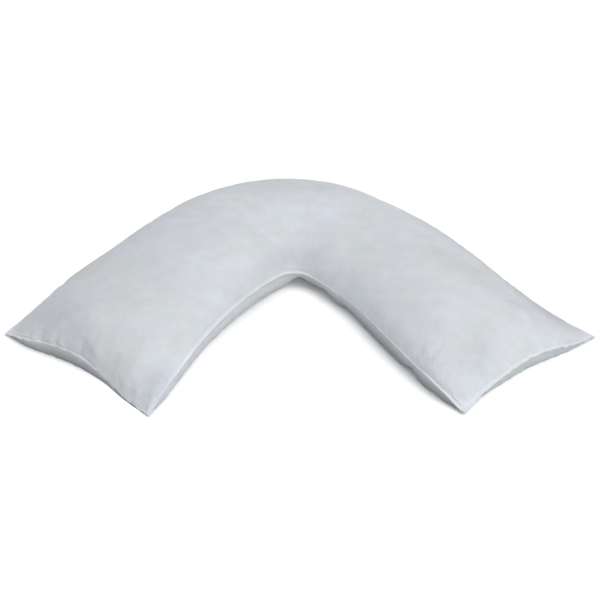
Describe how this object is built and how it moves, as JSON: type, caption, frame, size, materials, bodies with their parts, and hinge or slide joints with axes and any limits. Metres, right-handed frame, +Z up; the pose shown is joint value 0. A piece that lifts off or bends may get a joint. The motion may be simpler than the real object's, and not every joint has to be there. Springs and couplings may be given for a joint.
{
  "type": "v-shaped pillow",
  "caption": "V-shaped filled bed pillow with broad arms and a rounded fold, drawn in at a seam with a narrow lip all round, thinning out to limp corners, lying on its back.",
  "frame": {"origin": "under the middle of the pillow's box, on the surface that the pillow lies on", "axes": "+Z up, out of the top panel; +X along the pillow's length, to the right arm seen from the open side of the V; +Y towards the fold of the V"},
  "size_m": [1.078, 0.6996, 0.1108],
  "materials": {
    "cover": "soft matt white cotton or non-woven polyester, fine and smooth, with a faint cool tint"
  },
  "bodies": {
    "root": {"pillow": "cover"}
  },
  "joints": []
}
